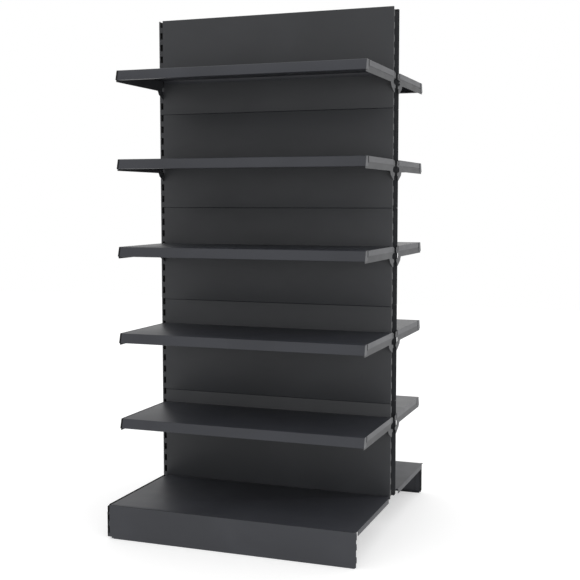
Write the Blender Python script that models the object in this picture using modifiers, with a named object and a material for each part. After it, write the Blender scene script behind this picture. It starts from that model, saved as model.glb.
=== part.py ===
"""Extension bay of double-sided gondola shelving, in powder-coated sheet steel.

One slotted upright stands at the left on two base legs. Back panels close the core on both sides,
hooked brackets carry the shelves, and a base shelf and a plinth finish each side at the floor.
The right-hand end is open: there the bay hangs on the upright of the next bay.
Metres, +Z up, +Y to the rear. The origin is on the floor, under the middle of the bounding box.
"""
import math

import bmesh
import bpy
from mathutils import Matrix

# Clearance between pieces that touch
GAP = 0.0003
# Step left where two sheets of one piece meet at an edge
EDGE_STEP = 0.0002
# Points closer than this are one
WELD = 0.000001
BEND_STEPS = 2

# Slot grid of the upright: rows counted down from its top
PITCH = 0.050
SLOT_WIDTH = 0.010
SLOT_HEIGHT = 0.025
SLOT_DROP = 0.010
SLOT_SPACING = 0.013
SLOT_COLUMN_COUNT = 2
LOWER_ROW_COUNT = 2

# Upright: a rectangular tube with slots through its front and rear walls
UPRIGHT_WIDTH = 0.033
UPRIGHT_DEPTH = 0.060
UPRIGHT_WALL = 0.002
UPRIGHT_CORNER = 0.003
UPRIGHT_FOOT = 0.012
# From this upright's axis to the axis of the next bay's upright
BAY_LENGTH = 1.0414

# Back panels: trays of thin sheet, open behind and at the left, notched down the right side
PANEL_COUNT = 5
PANEL_ROWS = 8
PANEL_SHEET = 0.001
PANEL_DEPTH = 0.014
PANEL_BEND = 0.0022
PANEL_FOOT = 0.124
PANEL_SEAM = 0.0006
TOOTH_HEIGHT = 0.026
NOTCH_DEPTH = 0.008

# Shelves: a folded sheet with a leaning nose for price strips
SHELF_COUNT = 5
FIRST_SHELF_ROW = 5
SHELF_ROW_STEP = 7
SHELF_BELOW_ROW = 0.00525
SHELF_FROM_AXIS = 0.0055
SHELF_SHEET = 0.0008
SHELF_DEPTH = 0.408
SHELF_BACK = 0.0008
SHELF_BEND = 0.0025
SHELF_REAR_LIP = 0.015
SHELF_SIDE_LIP = 0.0215
NOSE_HEIGHT = 0.039
NOSE_LEAN = 0.011
NOSE_RETURN = 0.020
NOSE_TAB = 0.036
NOSE_SLIT = 0.009

# Stiffening ribs: hat sections welded under the shelves
RIB_WIDTH = 0.050
RIB_HEIGHT = 0.013
RIB_FLANGE = 0.012
RIB_SLOPE = 0.006
RIB_BEND = 0.002
RIB_END_GAP = 0.030
RIB_WELD = 0.0003
SHELF_RIB_AT = 0.210
BASE_RIB_AT = 0.250

# Shelf brackets: flat plates with a hook and a tab at the rear
BRACKET_PLATE = 0.002
BRACKET_FRONT_DROP = 0.0255
BRACKET_UNDER_NOSE = 0.0072
BRACKET_TIP_BACK = 0.004
BRACKET_TIP_CHAMFER = 0.003
BRACKET_NOSE_GAP = 0.001
GUSSET_HEIGHT = 0.0365
GUSSET_REACH = 0.036
GUSSET_FOOT = 0.005
GUSSET_STEPS = 5
HOOK_WIDTH = 0.011
HOOK_HEIGHT = 0.0233
HOOK_DROP = 0.0098
HOOK_TIP = 0.004
HOOK_CLEARANCE = 0.0008
HOOK_STEPS = 4
TAB_REACH = 0.011
TAB_HEIGHT = 0.012
TAB_LIFT = 0.002
TAB_LEAD = 0.0015

# Base shelf and plinth
BASE_DEPTH = 0.503
BASE_TOP = 0.1377
BASE_SHEET = 0.0012
BASE_BEND = 0.003
BASE_LIP = 0.020
BASE_LIP_BACK = 0.012
BASE_NOTCH_WIDTH = 0.0085
BASE_NOTCH_DEPTH = 0.025
PLINTH_SHEET = 0.0012
PLINTH_BEND = 0.0025
PLINTH_TOP_STEP = 0.0012
PLINTH_RETURN = 0.022
PLINTH_END_RETURN = 0.020
PLINTH_END_GAP = 0.0005
PLINTH_END_DROP = 0.004
PLINTH_LEFT_CUTS = ((0.018, 0.008), (0.026, 0.003))
PLINTH_RIGHT_CUTS = ((0.006, 0.004),)
# How far the plinths stand towards the upright from the middle of the bay
FRONT_PLINTH_SHIFT = 0.005
REAR_PLINTH_SHIFT = 0.0112
# Keys at a plinth's right end, and the sockets they enter: two at these heights and one at the top
LOWER_KEYS = ((0.0227, 0.0454), (0.072, 0.0945))
TOP_KEY = 0.027
KEY_REACH = 0.0025
KEY_ROOT = 0.004
KEY_CLEARANCE = 0.0006
SOCKET_EDGE = 0.003
SOCKET_WIDTH = 0.0065
SOCKET_HEADROOM = 0.006

# Base legs, hooked to the upright, and their levelling feet
LEG_WIDTH = 0.018
LEG_PLATE = 0.002
LEG_FOOT = 0.025
LEG_FRONT_GAP = 0.004
LEG_NOSE = 0.030
INNER_FOOT_INSET = 0.050
OUTER_FOOT_BACK = 0.044
FOOT_PLATE = 0.004
FOOT_PLATE_LENGTH = 0.044
FOOT_RADIUS = 0.014
FOOT_RIM = 0.004
FOOT_NECK = 0.009
FOOT_CHAMFER = 0.001
STUD_RADIUS = 0.005
STUD_TOP = 0.062
ROUND_STEPS = 20

# Sizes that follow from the ones above
PANEL_MODULE = PANEL_ROWS * PITCH
TOP = PANEL_FOOT + PANEL_COUNT * PANEL_MODULE
SLOT_ROWS = PANEL_COUNT * PANEL_ROWS + LOWER_ROW_COUNT
CORE_DEPTH = UPRIGHT_DEPTH + 2 * PANEL_DEPTH
HALF_BAY = BAY_LENGTH / 2
SHELF_END = HALF_BAY - SHELF_FROM_AXIS
BRACKET_X = SHELF_END - EDGE_STEP - SHELF_SHEET - GAP - BRACKET_PLATE / 2
PANEL_END = BRACKET_X - BRACKET_PLATE / 2 - GAP
PLINTH_END = HALF_BAY - PLINTH_END_GAP
PLINTH_FACE = -CORE_DEPTH / 2 - BASE_DEPTH
LEG_TOP = BASE_TOP - BASE_LIP - GAP
LEG_REACH = BASE_DEPTH - PLINTH_END_RETURN - LEG_FRONT_GAP
FOOT_INSETS = (INNER_FOOT_INSET, LEG_REACH - OUTER_FOOT_BACK)
# Rear edge of a plate that hangs on the upright, behind the face of the back panels
HANG_EDGE = -PANEL_DEPTH + GAP
# The bay's middle is this far right of the middle of the bounding box
BAY_X = (UPRIGHT_WIDTH / 2 + PLINTH_END_GAP + FRONT_PLINTH_SHIFT - KEY_REACH) / 2

# Looks: linear colour, roughness and metallic
PAINT = ((0.062, 0.063, 0.068), 0.42, 0.0)
ZINC = ((0.45, 0.46, 0.47), 0.35, 1.0)
SMOOTH_ANGLE = math.radians(35)

for old in list(bpy.data.objects):
    bpy.data.objects.remove(old, do_unlink=True)

parts = bpy.data.collections.new("double_sided_gondola_bay")
cutters = bpy.data.collections.new("cutters")
bpy.context.scene.collection.children.link(parts)
bpy.context.scene.collection.children.link(cutters)


def finish(name, look):
    colour, roughness, metallic = look
    material = bpy.data.materials.new(name)
    material.use_nodes = True
    shader = material.node_tree.nodes["Principled BSDF"]
    shader.inputs["Base Color"].default_value = (*colour, 1.0)
    shader.inputs["Roughness"].default_value = roughness
    shader.inputs["Metallic"].default_value = metallic
    return material


def blank(name, data):
    """A hidden piece that shapes a part and is taken away afterwards."""
    piece = bpy.data.objects.new(name, data)
    piece.hide_render = True
    piece.display_type = "WIRE"
    cutters.objects.link(piece)
    return piece


def mesh_of(shape, name):
    mesh = bpy.data.meshes.new(name)
    shape.to_mesh(mesh)
    shape.free()
    return mesh


def finished(piece):
    """The mesh of a piece with its modifiers, in world space."""
    graph = bpy.context.evaluated_depsgraph_get()
    mesh = bpy.data.meshes.new_from_object(piece.evaluated_get(graph))
    mesh.transform(piece.matrix_world)
    return mesh


def block(low, high):
    """A cube stretched between two corners."""
    shape = bmesh.new()
    bmesh.ops.create_cube(shape, size=1.0)
    bmesh.ops.scale(shape, vec=[b - a for a, b in zip(low, high)], verts=shape.verts)
    bmesh.ops.translate(shape, vec=[(a + b) / 2 for a, b in zip(low, high)], verts=shape.verts)
    return shape


def box(name, low, high):
    return blank(name, mesh_of(block(low, high), name))


def row_of(piece, count, step):
    """Repeats a piece along a straight line."""
    array = piece.modifiers.new("row", "ARRAY")
    array.count = count
    array.use_relative_offset = False
    array.use_constant_offset = True
    array.constant_offset_displace = step


def open_box(name, low, high, left_off):
    """A cube without the faces that point the ways left off."""
    shape = block(low, high)
    shape.normal_update()
    gone = [face for face in shape.faces if any(face.normal.dot(way) > 0.5 for way in left_off)]
    bmesh.ops.delete(shape, geom=gone, context="FACES")
    return blank(name, mesh_of(shape, name))


def thicken(piece, thickness, bend):
    """Makes an open surface a sheet: rounded at its folds, with the thickness on the inside."""
    bevel = piece.modifiers.new("folds", "BEVEL")
    bevel.width = bend
    bevel.segments = BEND_STEPS
    bevel.limit_method = "ANGLE"
    solidify = piece.modifiers.new("sheet", "SOLIDIFY")
    solidify.thickness = thickness
    solidify.offset = -1
    solidify.use_even_offset = True


def folded(name, path, half_length, thickness, bend):
    """A folded sheet: its outer line in depth and height, drawn out along X."""
    shape = bmesh.new()
    line = [shape.verts.new((half_length, -CORE_DEPTH / 2 - depth, height)) for depth, height in path]
    edges = [shape.edges.new(pair) for pair in zip(line, line[1:])]
    drawn = bmesh.ops.extrude_edge_only(shape, edges=edges)["geom"]
    moved = [item for item in drawn if isinstance(item, bmesh.types.BMVert)]
    bmesh.ops.translate(shape, vec=(-2 * half_length, 0, 0), verts=moved)
    piece = blank(name, mesh_of(shape, name))
    thicken(piece, thickness, bend)
    return piece


def plate(name, outline, thickness, middle):
    """A flat plate square to X: an outline in depth and height, with its mid-plane at middle."""
    curve = bpy.data.curves.new(name, "CURVE")
    curve.dimensions = "2D"
    curve.fill_mode = "BOTH"
    curve.extrude = thickness / 2
    line = curve.splines.new("POLY")
    line.points.add(len(outline) - 1)
    for point, (depth, height) in zip(line.points, outline):
        point.co = (-CORE_DEPTH / 2 - depth, height, 0, 1)
    line.use_cyclic_u = True
    drawn = blank(name, curve)
    drawn.matrix_world = Matrix.Translation((middle, 0, 0)) @ Matrix(
        ((0, 0, 1, 0), (1, 0, 0, 0), (0, 1, 0, 0), (0, 0, 0, 1))
    )
    bpy.context.view_layer.update()
    shape = bmesh.new()
    shape.from_mesh(finished(drawn))
    bpy.data.objects.remove(drawn, do_unlink=True)
    bmesh.ops.remove_doubles(shape, verts=shape.verts, dist=WELD)
    bmesh.ops.recalc_face_normals(shape, faces=shape.faces)
    return blank(name, mesh_of(shape, name))


def combine(piece, operation, tools):
    for tool in tools:
        boolean = piece.modifiers.new(operation.lower(), "BOOLEAN")
        boolean.operation = operation
        boolean.solver = "EXACT"
        boolean.object = tool


def arc(centre, radius, start, end, steps):
    angles = [start + (end - start) * i / steps for i in range(steps + 1)]
    return [(centre[0] + radius * math.cos(a), centre[1] + radius * math.sin(a)) for a in angles]


def row_height(row):
    return TOP - row * PITCH


def slot_bottom(row):
    return row_height(row) - SLOT_DROP - SLOT_HEIGHT / 2


def upright_piece():
    """A tube with rounded corners. Each slot cutter goes through the front and the rear wall."""
    half_x = UPRIGHT_WIDTH / 2
    half_y = UPRIGHT_DEPTH / 2
    tube = open_box("tube", (-half_x, -half_y, UPRIGHT_FOOT), (half_x, half_y, TOP), ((0, 0, 1), (0, 0, -1)))
    thicken(tube, UPRIGHT_WALL, UPRIGHT_CORNER)
    left = -SLOT_SPACING / 2 - SLOT_WIDTH / 2
    slots = box(
        "slots",
        (left, -UPRIGHT_DEPTH, slot_bottom(0)),
        (left + SLOT_WIDTH, UPRIGHT_DEPTH, slot_bottom(0) + SLOT_HEIGHT),
    )
    row_of(slots, SLOT_COLUMN_COUNT, (SLOT_SPACING, 0, 0))
    row_of(slots, SLOT_ROWS, (0, 0, -PITCH))
    combine(tube, "DIFFERENCE", [slots])
    return tube


def panel_piece():
    """A back panel. Its right-hand flange is cut away at each slot row, which leaves teeth between."""
    face = -CORE_DEPTH / 2
    height = PANEL_MODULE - PANEL_SEAM
    back = face + PANEL_DEPTH - GAP
    tray = open_box("tray", (-PANEL_END, face, 0), (PANEL_END, back, height), ((0, 1, 0), (-1, 0, 0)))
    thicken(tray, PANEL_SHEET, PANEL_BEND)
    half_notch = (PITCH - TOOTH_HEIGHT) / 2
    notches = box(
        "notches",
        (PANEL_END - 2 * PANEL_SHEET, back - NOTCH_DEPTH, -PANEL_SEAM / 2 - half_notch),
        (PANEL_END + PANEL_SHEET, back + PANEL_DEPTH, -PANEL_SEAM / 2 + half_notch),
    )
    row_of(notches, PANEL_ROWS + 1, (0, 0, PITCH))
    combine(tray, "DIFFERENCE", [notches])
    return tray


def hanging_edge(seat, top):
    """Rear edge of a plate, from its top down.

    A hook drops over the slot edge at seat, and a tab enters the slot below.
    """
    inner = -PANEL_DEPTH - UPRIGHT_WALL - HOOK_CLEARANCE
    outer = inner - HOOK_WIDTH
    foot = seat - HOOK_DROP
    hook_top = foot + HOOK_HEIGHT
    tab = HANG_EDGE - TAB_REACH
    tab_low = seat - PITCH + TAB_LIFT
    tab_high = tab_low + TAB_HEIGHT
    shoulder = arc((inner, hook_top - HOOK_WIDTH), HOOK_WIDTH, math.pi / 2, math.pi, HOOK_STEPS)
    return [
        (HANG_EDGE + top - hook_top, top),
        (HANG_EDGE, hook_top),
        *shoulder,
        (outer, foot + HOOK_TIP),
        (outer + HOOK_TIP, foot),
        (inner, foot),
        (inner, seat + GAP),
        (HANG_EDGE, seat + GAP),
        (HANG_EDGE, tab_high),
        (tab, tab_high - TAB_LEAD),
        (tab, tab_low + TAB_LEAD),
        (HANG_EDGE, tab_low),
    ]


def bracket_piece():
    """A plate under one end of a shelf. Heights are measured from the top of the shelf."""
    top = -SHELF_SHEET - GAP
    seat = SHELF_BELOW_ROW - SLOT_DROP - SLOT_HEIGHT / 2
    under_nose = -NOSE_HEIGHT - GAP
    band = under_nose - BRACKET_UNDER_NOSE
    start = HANG_EDGE + GUSSET_FOOT
    gusset = []
    for i in range(GUSSET_STEPS + 1):
        share = i / GUSSET_STEPS
        depth = start + (GUSSET_REACH - start) * share ** 2
        gusset.append((depth, band - GUSSET_HEIGHT * (1 - share) ** 2))
    tip = SHELF_DEPTH - BRACKET_TIP_BACK
    behind_nose = SHELF_DEPTH - NOSE_RETURN - BRACKET_NOSE_GAP
    behind_slit = SHELF_DEPTH - NOSE_TAB - NOSE_SLIT
    front = [
        (tip - BRACKET_TIP_CHAMFER, band),
        (tip, band + BRACKET_TIP_CHAMFER),
        (tip, under_nose),
        (behind_nose, under_nose),
        (behind_nose, -BRACKET_FRONT_DROP),
        (behind_slit, -BRACKET_FRONT_DROP),
        (behind_slit, top),
    ]
    outline = [*hanging_edge(seat, top), (HANG_EDGE, band - GUSSET_HEIGHT), *gusset, *front]
    return plate("bracket", outline, BRACKET_PLATE, 0)


def end_plates(name, outline, end, sheet):
    """The same plate at both ends of a folded sheet, just inside its edges."""
    middle = end - EDGE_STEP - sheet / 2
    return [plate(name, outline, sheet, middle), plate(name, outline, sheet, -middle)]


def end_boxes(name, near, far, low, high):
    """The same box at both ends of the bay, from near to far along X."""
    pieces = []
    for way in (-1, 1):
        left, right = sorted((way * near, way * far))
        pieces.append(box(name, (left, *low), (right, *high)))
    return pieces


def rib(middle, top, sheet):
    """A hat section along the underside of a sheet, sunk into it a little where it is welded."""
    flange = top - sheet + RIB_WELD
    web = top - RIB_HEIGHT
    near = middle - RIB_WIDTH / 2
    far = middle + RIB_WIDTH / 2
    path = [
        (near - RIB_FLANGE, flange),
        (near, flange),
        (near + RIB_SLOPE, web),
        (far - RIB_SLOPE, web),
        (far, flange),
        (far + RIB_FLANGE, flange),
    ]
    return folded("rib", path, PANEL_END - RIB_END_GAP, sheet, RIB_BEND)


def shelf_piece():
    """Rear lip, top, leaning nose and its return, with a lip and a nose tab at both ends.

    A rib stiffens the top from below. The rear corners are cut out to pass the brackets.
    """
    path = [
        (SHELF_BACK, -SHELF_REAR_LIP),
        (SHELF_BACK, 0),
        (SHELF_DEPTH - NOSE_LEAN, 0),
        (SHELF_DEPTH, -NOSE_HEIGHT),
        (SHELF_DEPTH - NOSE_RETURN, -NOSE_HEIGHT),
    ]
    sheet = folded("shelf", path, SHELF_END, SHELF_SHEET, SHELF_BEND)
    half = SHELF_SHEET / 2
    lip_front = SHELF_DEPTH - NOSE_TAB - NOSE_SLIT
    lip = [
        (SHELF_BACK + half, -half),
        (lip_front, -half),
        (lip_front, -SHELF_SIDE_LIP),
        (SHELF_BACK + half, -SHELF_SIDE_LIP),
    ]
    lean = NOSE_LEAN / NOSE_HEIGHT
    nose_top = SHELF_DEPTH - NOSE_LEAN - half
    nose_foot = SHELF_DEPTH - half
    tab = [
        (SHELF_DEPTH - NOSE_TAB, -half),
        (nose_top - SHELF_BEND, -half),
        (nose_top + lean * SHELF_BEND, -SHELF_BEND),
        (nose_foot - lean * SHELF_BEND, -NOSE_HEIGHT + SHELF_BEND),
        (nose_foot - SHELF_BEND, -NOSE_HEIGHT + half),
        (SHELF_DEPTH - NOSE_TAB, -NOSE_HEIGHT + half),
    ]
    combine(sheet, "UNION", [rib(SHELF_RIB_AT, 0, SHELF_SHEET)])
    combine(sheet, "UNION", end_plates("side_lip", lip, SHELF_END, SHELF_SHEET))
    reliefs = end_boxes(
        "corner_relief",
        PANEL_END,
        HALF_BAY,
        (-CORE_DEPTH / 2 - SHELF_BACK - SHELF_BEND - GAP, -SHELF_REAR_LIP - SHELF_SHEET),
        (-CORE_DEPTH / 2 + SHELF_BACK, SHELF_SHEET),
    )
    combine(sheet, "UNION", end_plates("nose_tab", tab, SHELF_END, SHELF_SHEET))
    combine(sheet, "DIFFERENCE", reliefs)
    return sheet


def base_shelf_piece():
    """The lowest shelf: a sheet turned down at the rear, the front and both ends.

    Its front corners are cut out to pass the end flange of the plinth.
    """
    front = BASE_DEPTH - PLINTH_SHEET - GAP
    foot = BASE_TOP - BASE_LIP
    path = [(SHELF_BACK, foot), (SHELF_BACK, BASE_TOP), (front, BASE_TOP), (front, foot)]
    sheet = folded("base_shelf", path, SHELF_END, BASE_SHEET, BASE_BEND)
    notch_back = BASE_DEPTH - BASE_NOTCH_DEPTH
    lip_front = notch_back + BASE_SHEET
    lip_top = BASE_TOP - BASE_SHEET / 2
    lip = [(BASE_LIP_BACK, lip_top), (lip_front, lip_top), (lip_front, foot), (BASE_LIP_BACK, foot)]
    notches = end_boxes(
        "corner_notch",
        SHELF_END - BASE_NOTCH_WIDTH,
        SHELF_END + BASE_SHEET,
        (PLINTH_FACE, foot - BASE_SHEET),
        (-CORE_DEPTH / 2 - notch_back, BASE_TOP + BASE_SHEET),
    )
    combine(sheet, "UNION", [rib(BASE_RIB_AT, BASE_TOP, BASE_SHEET)])
    combine(sheet, "UNION", end_plates("base_lip", lip, SHELF_END, BASE_SHEET))
    combine(sheet, "DIFFERENCE", notches)
    return sheet


def plinth_piece():
    """A kick plate with a foot return, and a flange at its left end.

    Keys at its right end fit the sockets at the left end of the next bay's plinth.
    The highest socket is open at the end. The lower corners are cut away.
    """
    half = PLINTH_SHEET / 2
    top = BASE_TOP - PLINTH_TOP_STEP
    path = [(BASE_DEPTH, top), (BASE_DEPTH, 0), (BASE_DEPTH - PLINTH_RETURN, 0)]
    sheet = folded("plinth", path, PLINTH_END, PLINTH_SHEET, PLINTH_BEND)
    flange_top = top - PLINTH_END_DROP
    flange_back = BASE_DEPTH - PLINTH_END_RETURN
    outline = [
        (BASE_DEPTH - half, PLINTH_BEND),
        (BASE_DEPTH - half, flange_top),
        (flange_back, flange_top),
        (flange_back, half),
        (BASE_DEPTH - PLINTH_BEND, half),
    ]
    flange = plate("end_flange", outline, PLINTH_SHEET, EDGE_STEP + half - PLINTH_END)
    left = -PLINTH_END
    right = PLINTH_END
    front = PLINTH_FACE - KEY_REACH
    behind = PLINTH_FACE + 2 * PLINTH_RETURN
    socket_back = PLINTH_FACE + PLINTH_SHEET + KEY_CLEARANCE
    open_foot = top - TOP_KEY
    keys = []
    cuts = []
    for low, high in (*LOWER_KEYS, (open_foot, top - EDGE_STEP)):
        keys.append(box(
            "key",
            (right - KEY_ROOT, PLINTH_FACE + EDGE_STEP, low),
            (right + KEY_REACH, PLINTH_FACE + PLINTH_SHEET - EDGE_STEP, high),
        ))
        cuts.append(box(
            "socket",
            (left + SOCKET_EDGE, front, low - KEY_CLEARANCE),
            (left + SOCKET_EDGE + SOCKET_WIDTH, socket_back, high + SOCKET_HEADROOM),
        ))
    cuts.append(box(
        "open_socket",
        (left - KEY_REACH, front, open_foot - KEY_CLEARANCE),
        (left + 2 * SOCKET_EDGE, socket_back, top + SOCKET_HEADROOM),
    ))
    for run, rise in PLINTH_LEFT_CUTS:
        cuts.append(box("left_cut", (left - KEY_REACH, front, -rise), (left + run, behind, rise)))
    for run, rise in PLINTH_RIGHT_CUTS:
        cuts.append(box("right_cut", (right - run, front, -rise), (right + KEY_REACH, behind, rise)))
    combine(sheet, "UNION", [flange, *keys])
    combine(sheet, "DIFFERENCE", cuts)
    return sheet


def leg_piece():
    """Two hooked cheeks under a top web, closed at the front, with a plate for each levelling foot."""
    half = LEG_WIDTH / 2
    outline = [
        *hanging_edge(slot_bottom(PANEL_COUNT * PANEL_ROWS), LEG_TOP),
        (HANG_EDGE, LEG_FOOT),
        (LEG_REACH - LEG_NOSE, LEG_FOOT),
        (LEG_REACH, LEG_FOOT + LEG_NOSE),
        (LEG_REACH, LEG_TOP),
    ]
    cheeks = end_plates("cheek", outline, half, LEG_PLATE)
    back = -CORE_DEPTH / 2
    front = back - LEG_REACH
    step = EDGE_STEP
    web = box(
        "web",
        (-half + step + LEG_PLATE / 2, front + step, LEG_TOP - LEG_PLATE),
        (half - step - LEG_PLATE / 2, back, LEG_TOP - step),
    )
    nose = box(
        "nose",
        (-half + step + LEG_PLATE / 2, front + step, LEG_FOOT + LEG_NOSE),
        (half - step - LEG_PLATE / 2, front + step + LEG_PLATE, LEG_TOP - step - LEG_PLATE / 2),
    )
    foot_plates = []
    holes = []
    for inset in FOOT_INSETS:
        middle = back - inset
        foot_plates.append(box(
            "foot_plate",
            (-half + step + LEG_PLATE / 2, middle - FOOT_PLATE_LENGTH / 2, LEG_FOOT + step),
            (half - step - LEG_PLATE / 2, middle + FOOT_PLATE_LENGTH / 2, LEG_FOOT + FOOT_PLATE),
        ))
        shape = bmesh.new()
        bmesh.ops.create_cone(
            shape,
            cap_ends=True,
            segments=ROUND_STEPS,
            radius1=STUD_RADIUS + GAP,
            radius2=STUD_RADIUS + GAP,
            depth=4 * FOOT_PLATE,
            matrix=Matrix.Translation((0, middle, LEG_FOOT)),
        )
        holes.append(blank("stud_hole", mesh_of(shape, "stud_hole")))
    combine(web, "UNION", [*cheeks, nose, *foot_plates])
    combine(web, "DIFFERENCE", holes)
    return web


def foot_piece():
    """A levelling foot, turned: a disc on a stud."""
    profile = [
        (0, STUD_TOP),
        (STUD_RADIUS - FOOT_CHAMFER, STUD_TOP),
        (STUD_RADIUS, STUD_TOP - FOOT_CHAMFER),
        (STUD_RADIUS, FOOT_NECK),
        (FOOT_RADIUS, FOOT_RIM),
        (FOOT_RADIUS, FOOT_CHAMFER),
        (FOOT_RADIUS - FOOT_CHAMFER, 0),
        (0, 0),
    ]
    mesh = bpy.data.meshes.new("foot")
    mesh.from_pydata([(x, 0, z) for x, z in profile], [(i, i + 1) for i in range(len(profile) - 1)], [])
    piece = blank("foot", mesh)
    screw = piece.modifiers.new("turned", "SCREW")
    screw.steps = ROUND_STEPS
    screw.render_steps = ROUND_STEPS
    screw.use_merge_vertices = True
    screw.merge_threshold = WELD
    return piece


def shaped(piece, material):
    """A piece's finished mesh, shaded and with its material."""
    mesh = finished(piece)
    mesh.materials.clear()
    mesh.materials.append(material)
    mesh.shade_smooth()
    mesh.set_sharp_from_angle(angle=SMOOTH_ANGLE)
    return mesh


def holder(name, parent, location, turn):
    empty = bpy.data.objects.new(name, None)
    parts.objects.link(empty)
    empty.parent = parent
    empty.location = location
    empty.rotation_euler = (0, 0, turn)
    return empty


def place(name, mesh, parent, location):
    part = bpy.data.objects.new(name, mesh)
    parts.objects.link(part)
    part.parent = parent
    part.location = location


upright = shaped(upright_piece(), finish("upright_paint", PAINT))
panel = shaped(panel_piece(), finish("panel_paint", PAINT))
bracket = shaped(bracket_piece(), finish("bracket_paint", PAINT))
shelf = shaped(shelf_piece(), finish("shelf_paint", PAINT))
base_shelf = shaped(base_shelf_piece(), finish("base_shelf_paint", PAINT))
plinth = shaped(plinth_piece(), finish("plinth_paint", PAINT))
leg = shaped(leg_piece(), finish("leg_paint", PAINT))
foot = shaped(foot_piece(), finish("foot_zinc", ZINC))
for tool in list(cutters.objects):
    bpy.data.objects.remove(tool, do_unlink=True)
bpy.data.collections.remove(cutters)

bay = holder("bay_middle", None, (BAY_X, 0, 0), 0)
place("upright", upright, bay, (-HALF_BAY, 0, 0))

# Both sides hold the same pieces. The rear is turned half round, so its upright end is at its own right.
SIDES = (("front", 0, -1, FRONT_PLINTH_SHIFT), ("rear", math.pi, 1, REAR_PLINTH_SHIFT))
for side, turn, upright_way, plinth_shift in SIDES:
    core = holder(side + "_side", bay, (0, 0, 0), turn)

    place(side + "_base_leg", leg, core, (upright_way * HALF_BAY, 0, 0))
    for spot, inset in zip(("inner", "outer"), FOOT_INSETS):
        place(f"{side}_{spot}_foot", foot, core, (upright_way * HALF_BAY, -CORE_DEPTH / 2 - inset, 0))

    for number in range(1, PANEL_COUNT + 1):
        low = TOP - number * PANEL_MODULE + PANEL_SEAM / 2
        place(f"{side}_panel_{number}", panel, core, (0, 0, low))

    for number in range(1, SHELF_COUNT + 1):
        height = row_height(FIRST_SHELF_ROW + (number - 1) * SHELF_ROW_STEP) - SHELF_BELOW_ROW
        place(f"{side}_bracket_{number}_left", bracket, core, (upright_way * BRACKET_X, 0, height))
        place(f"{side}_bracket_{number}_right", bracket, core, (-upright_way * BRACKET_X, 0, height))
        place(f"{side}_shelf_{number}", shelf, core, (0, 0, height))

    place(side + "_base_shelf", base_shelf, core, (0, 0, 0))
    place(side + "_plinth", plinth, core, (upright_way * plinth_shift, 0, 0))
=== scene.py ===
import math

import bmesh
import bpy
from mathutils import Matrix, Vector


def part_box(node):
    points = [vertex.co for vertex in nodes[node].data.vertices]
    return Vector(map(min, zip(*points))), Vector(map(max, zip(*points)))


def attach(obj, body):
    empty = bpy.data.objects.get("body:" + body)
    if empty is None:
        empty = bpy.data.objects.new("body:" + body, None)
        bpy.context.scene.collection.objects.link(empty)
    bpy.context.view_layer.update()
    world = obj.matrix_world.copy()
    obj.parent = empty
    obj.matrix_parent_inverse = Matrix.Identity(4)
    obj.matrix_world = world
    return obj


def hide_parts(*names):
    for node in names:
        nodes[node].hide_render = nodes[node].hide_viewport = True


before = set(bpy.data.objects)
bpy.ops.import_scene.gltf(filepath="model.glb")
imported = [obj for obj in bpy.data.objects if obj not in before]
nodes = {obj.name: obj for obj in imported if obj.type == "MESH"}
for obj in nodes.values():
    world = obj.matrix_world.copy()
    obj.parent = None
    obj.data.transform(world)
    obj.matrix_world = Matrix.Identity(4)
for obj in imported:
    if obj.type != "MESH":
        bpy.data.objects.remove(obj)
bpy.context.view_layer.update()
scene = bpy.context.scene
scene.view_settings.view_transform = "Standard"

# Upright: a roll-formed steel tube with slots punched through its front and rear walls, powder coated after.
# In the photograph the slots start further from the tube's edge than in the plain solid, and no web parts
# the two columns, so this tube has one wide slot in each row, for the hooks of both bays.
UPRIGHT_GREY = (0.028, 0.0295, 0.033)
# The tube's inside walls are painted near black and less shiny: painted shade, for the dark inside seen
# through the slots.
INSIDE_PAINTED_SHADE = (0.006, 0.0062, 0.0066)
INSIDE_SHADE_SHINE = 0.08
UPRIGHT_WALL = 0.0020
UPRIGHT_CORNER = 0.0050
UPRIGHT_CORNER_STEPS = 4
SLOT_ROWS = 42
SLOT_PITCH = 0.0500
SLOT_HEIGHT = 0.0275
SLOT_SILL = 0.0262
SLOT_INSET = 0.0072
PEEL_SCALE = 620.0
PEEL_DEPTH = 0.00006
PEEL_STRENGTH = 0.35
GRAIN_FINENESS = 3.4
GRAIN_HEIGHT = 0.35
CLOUD_DARK = 0.90
CLOUD_LIGHT = 1.10
FLECK_SCALE = 2100.0
WIPE_SCALE = 7.0
WIPE_STRETCH = (1.0, 1.0, 3.5)
WIPE_SHARE = 0.7
GRAIN_SHARE = 0.3
WORN_EDGE = (0.16, 0.16, 0.165)
DUST_GREY = (0.24, 0.235, 0.225)
DUST_DULL = 0.4
SPECK_SCALE = 900.0
COAT_EDGE = 0.00022
COAT_SHINE = 0.38
# The painted shade strip at butted ends: how dull it is, how dark against the coat, how soft and how ragged
# its side.
SHADE_DULL = 0.95
SHADE_TONE = 0.12
SHADE_FADE = 0.0008
RAGGED_SCALE = 160.0
RAGGED_DEPTH = 0.0010
FOLD_ANGLE = math.radians(38)
# Points of a solid that are closer than this are one
JOIN_DISTANCE = 0.000004


def shader_group(name, inputs, outputs):
    """An empty shader node group with its sockets, and the two nodes that stand for them."""
    tree = bpy.data.node_groups.new(name, "ShaderNodeTree")
    for socket, value in inputs.items():
        tree.interface.new_socket(socket, in_out="INPUT", socket_type="NodeSocketFloat").default_value = value
    for socket in outputs:
        tree.interface.new_socket(socket, in_out="OUTPUT", socket_type="NodeSocketFloat")
    return tree, tree.nodes.new("NodeGroupInput"), tree.nodes.new("NodeGroupOutput")


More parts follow.
